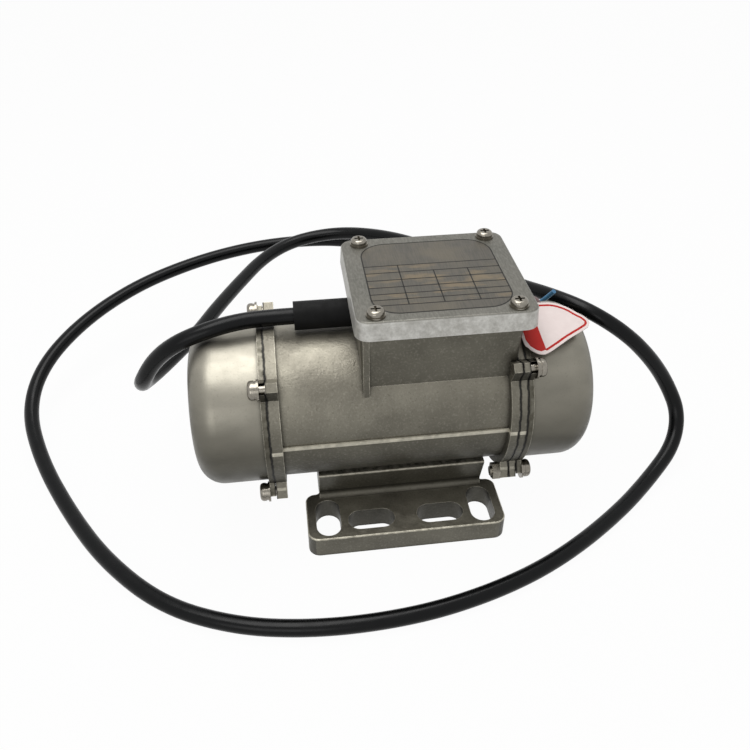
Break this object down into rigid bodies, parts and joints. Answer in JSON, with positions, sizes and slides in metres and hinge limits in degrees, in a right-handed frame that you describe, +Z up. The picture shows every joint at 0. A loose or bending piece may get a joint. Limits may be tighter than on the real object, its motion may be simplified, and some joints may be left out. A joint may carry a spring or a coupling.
{
  "type": "vibration motor",
  "caption": "Small foot-mounted vibration motor with domed end covers over adjustable eccentric weights, a top terminal box and a free supply cable.",
  "frame": {"origin": "centre of the foot's flat base, on the floor under the shaft", "axes": "+X along the shaft towards the bearing-shield end, +Z up, the cable sleeve points to -X"},
  "size_m": [0.3863, 0.3124, 0.1316],
  "materials": {
    "cast_stainless": "cast, satin",
    "pressed_stainless": "satin",
    "cast_aluminium": "cast, lightly scuffed",
    "nitrile_gasket": "matt",
    "zinc_plated": "bright plated",
    "lamination_steel": "oiled",
    "copper_winding": "enamelled",
    "shaft_steel": "ground",
    "bearing_steel": "polished",
    "weight_steel": "sawn, oiled",
    "terminal_plastic": "moulded",
    "capacitor_can": "moulded",
    "sleeve_rubber": "matt",
    "cable_jacket": "glossy",
    "blue_insulation": "glossy",
    "brown_insulation": "glossy",
    "tag_paper": "printed card"
  },
  "bodies": {
    "housing": {"housing": "cast_stainless", "bearing_shield": "cast_stainless", "left_cover": "pressed_stainless", "right_cover": "pressed_stainless", "left_cover_gasket": "nitrile_gasket", "shield_gasket": "nitrile_gasket", "right_cover_gasket": "nitrile_gasket", "lid_gasket": "nitrile_gasket", "left_cover_screws": "zinc_plated", "left_flat_washers": "zinc_plated", "left_spring_washers": "zinc_plated", "right_cover_screws": "zinc_plated", "right_flat_washers": "zinc_plated", "right_spring_washers": "zinc_plated", "cover_nuts": "zinc_plated", "lid_screws": "zinc_plated", "lid_washers": "zinc_plated", "terminal_lid": "cast_aluminium", "stator_core": "lamination_steel", "stator_windings": "copper_winding", "left_bearing_outer": "bearing_steel", "left_bearing_balls": "bearing_steel", "right_bearing_outer": "bearing_steel", "right_bearing_balls": "bearing_steel", "terminal_block": "terminal_plastic", "terminal_screws": "zinc_plated", "run_capacitor": "capacitor_can", "cable_sleeve": "sleeve_rubber", "cable_entry": "cable_jacket", "cable": "cable_jacket", "blue_core": "blue_insulation", "brown_core": "brown_insulation", "hang_tag": "tag_paper"},
    "rotor": {"shaft": "shaft_steel", "rotor_core": "lamination_steel", "rotor_end_rings": "cast_aluminium", "left_bearing_inner": "bearing_steel", "right_bearing_inner": "bearing_steel", "left_inner_weight": "weight_steel", "right_inner_weight": "weight_steel", "inner_clamp_screws": "zinc_plated", "weight_keys": "shaft_steel", "shaft_circlips": "shaft_steel"},
    "left_adjustable_weight": {"left_outer_weight": "weight_steel", "left_outer_clamp_screw": "zinc_plated"},
    "right_adjustable_weight": {"right_outer_weight": "weight_steel", "right_outer_clamp_screw": "zinc_plated"}
  },
  "joints": [
    {"name": "rotor_spin", "type": "hinge", "parent": "housing", "child": "rotor", "pos_m": [0, 0, 0.062], "axis": [1, 0, 0], "continuous": true},
    {"name": "left_weight_setting", "type": "hinge", "parent": "rotor", "child": "left_adjustable_weight", "pos_m": [-0.081, 0, 0.062], "axis": [1, 0, 0], "range_deg": [0, 180]},
    {"name": "right_weight_setting", "type": "hinge", "parent": "rotor", "child": "right_adjustable_weight", "pos_m": [0.074, 0, 0.062], "axis": [1, 0, 0], "range_deg": [0, 180]}
  ]
}
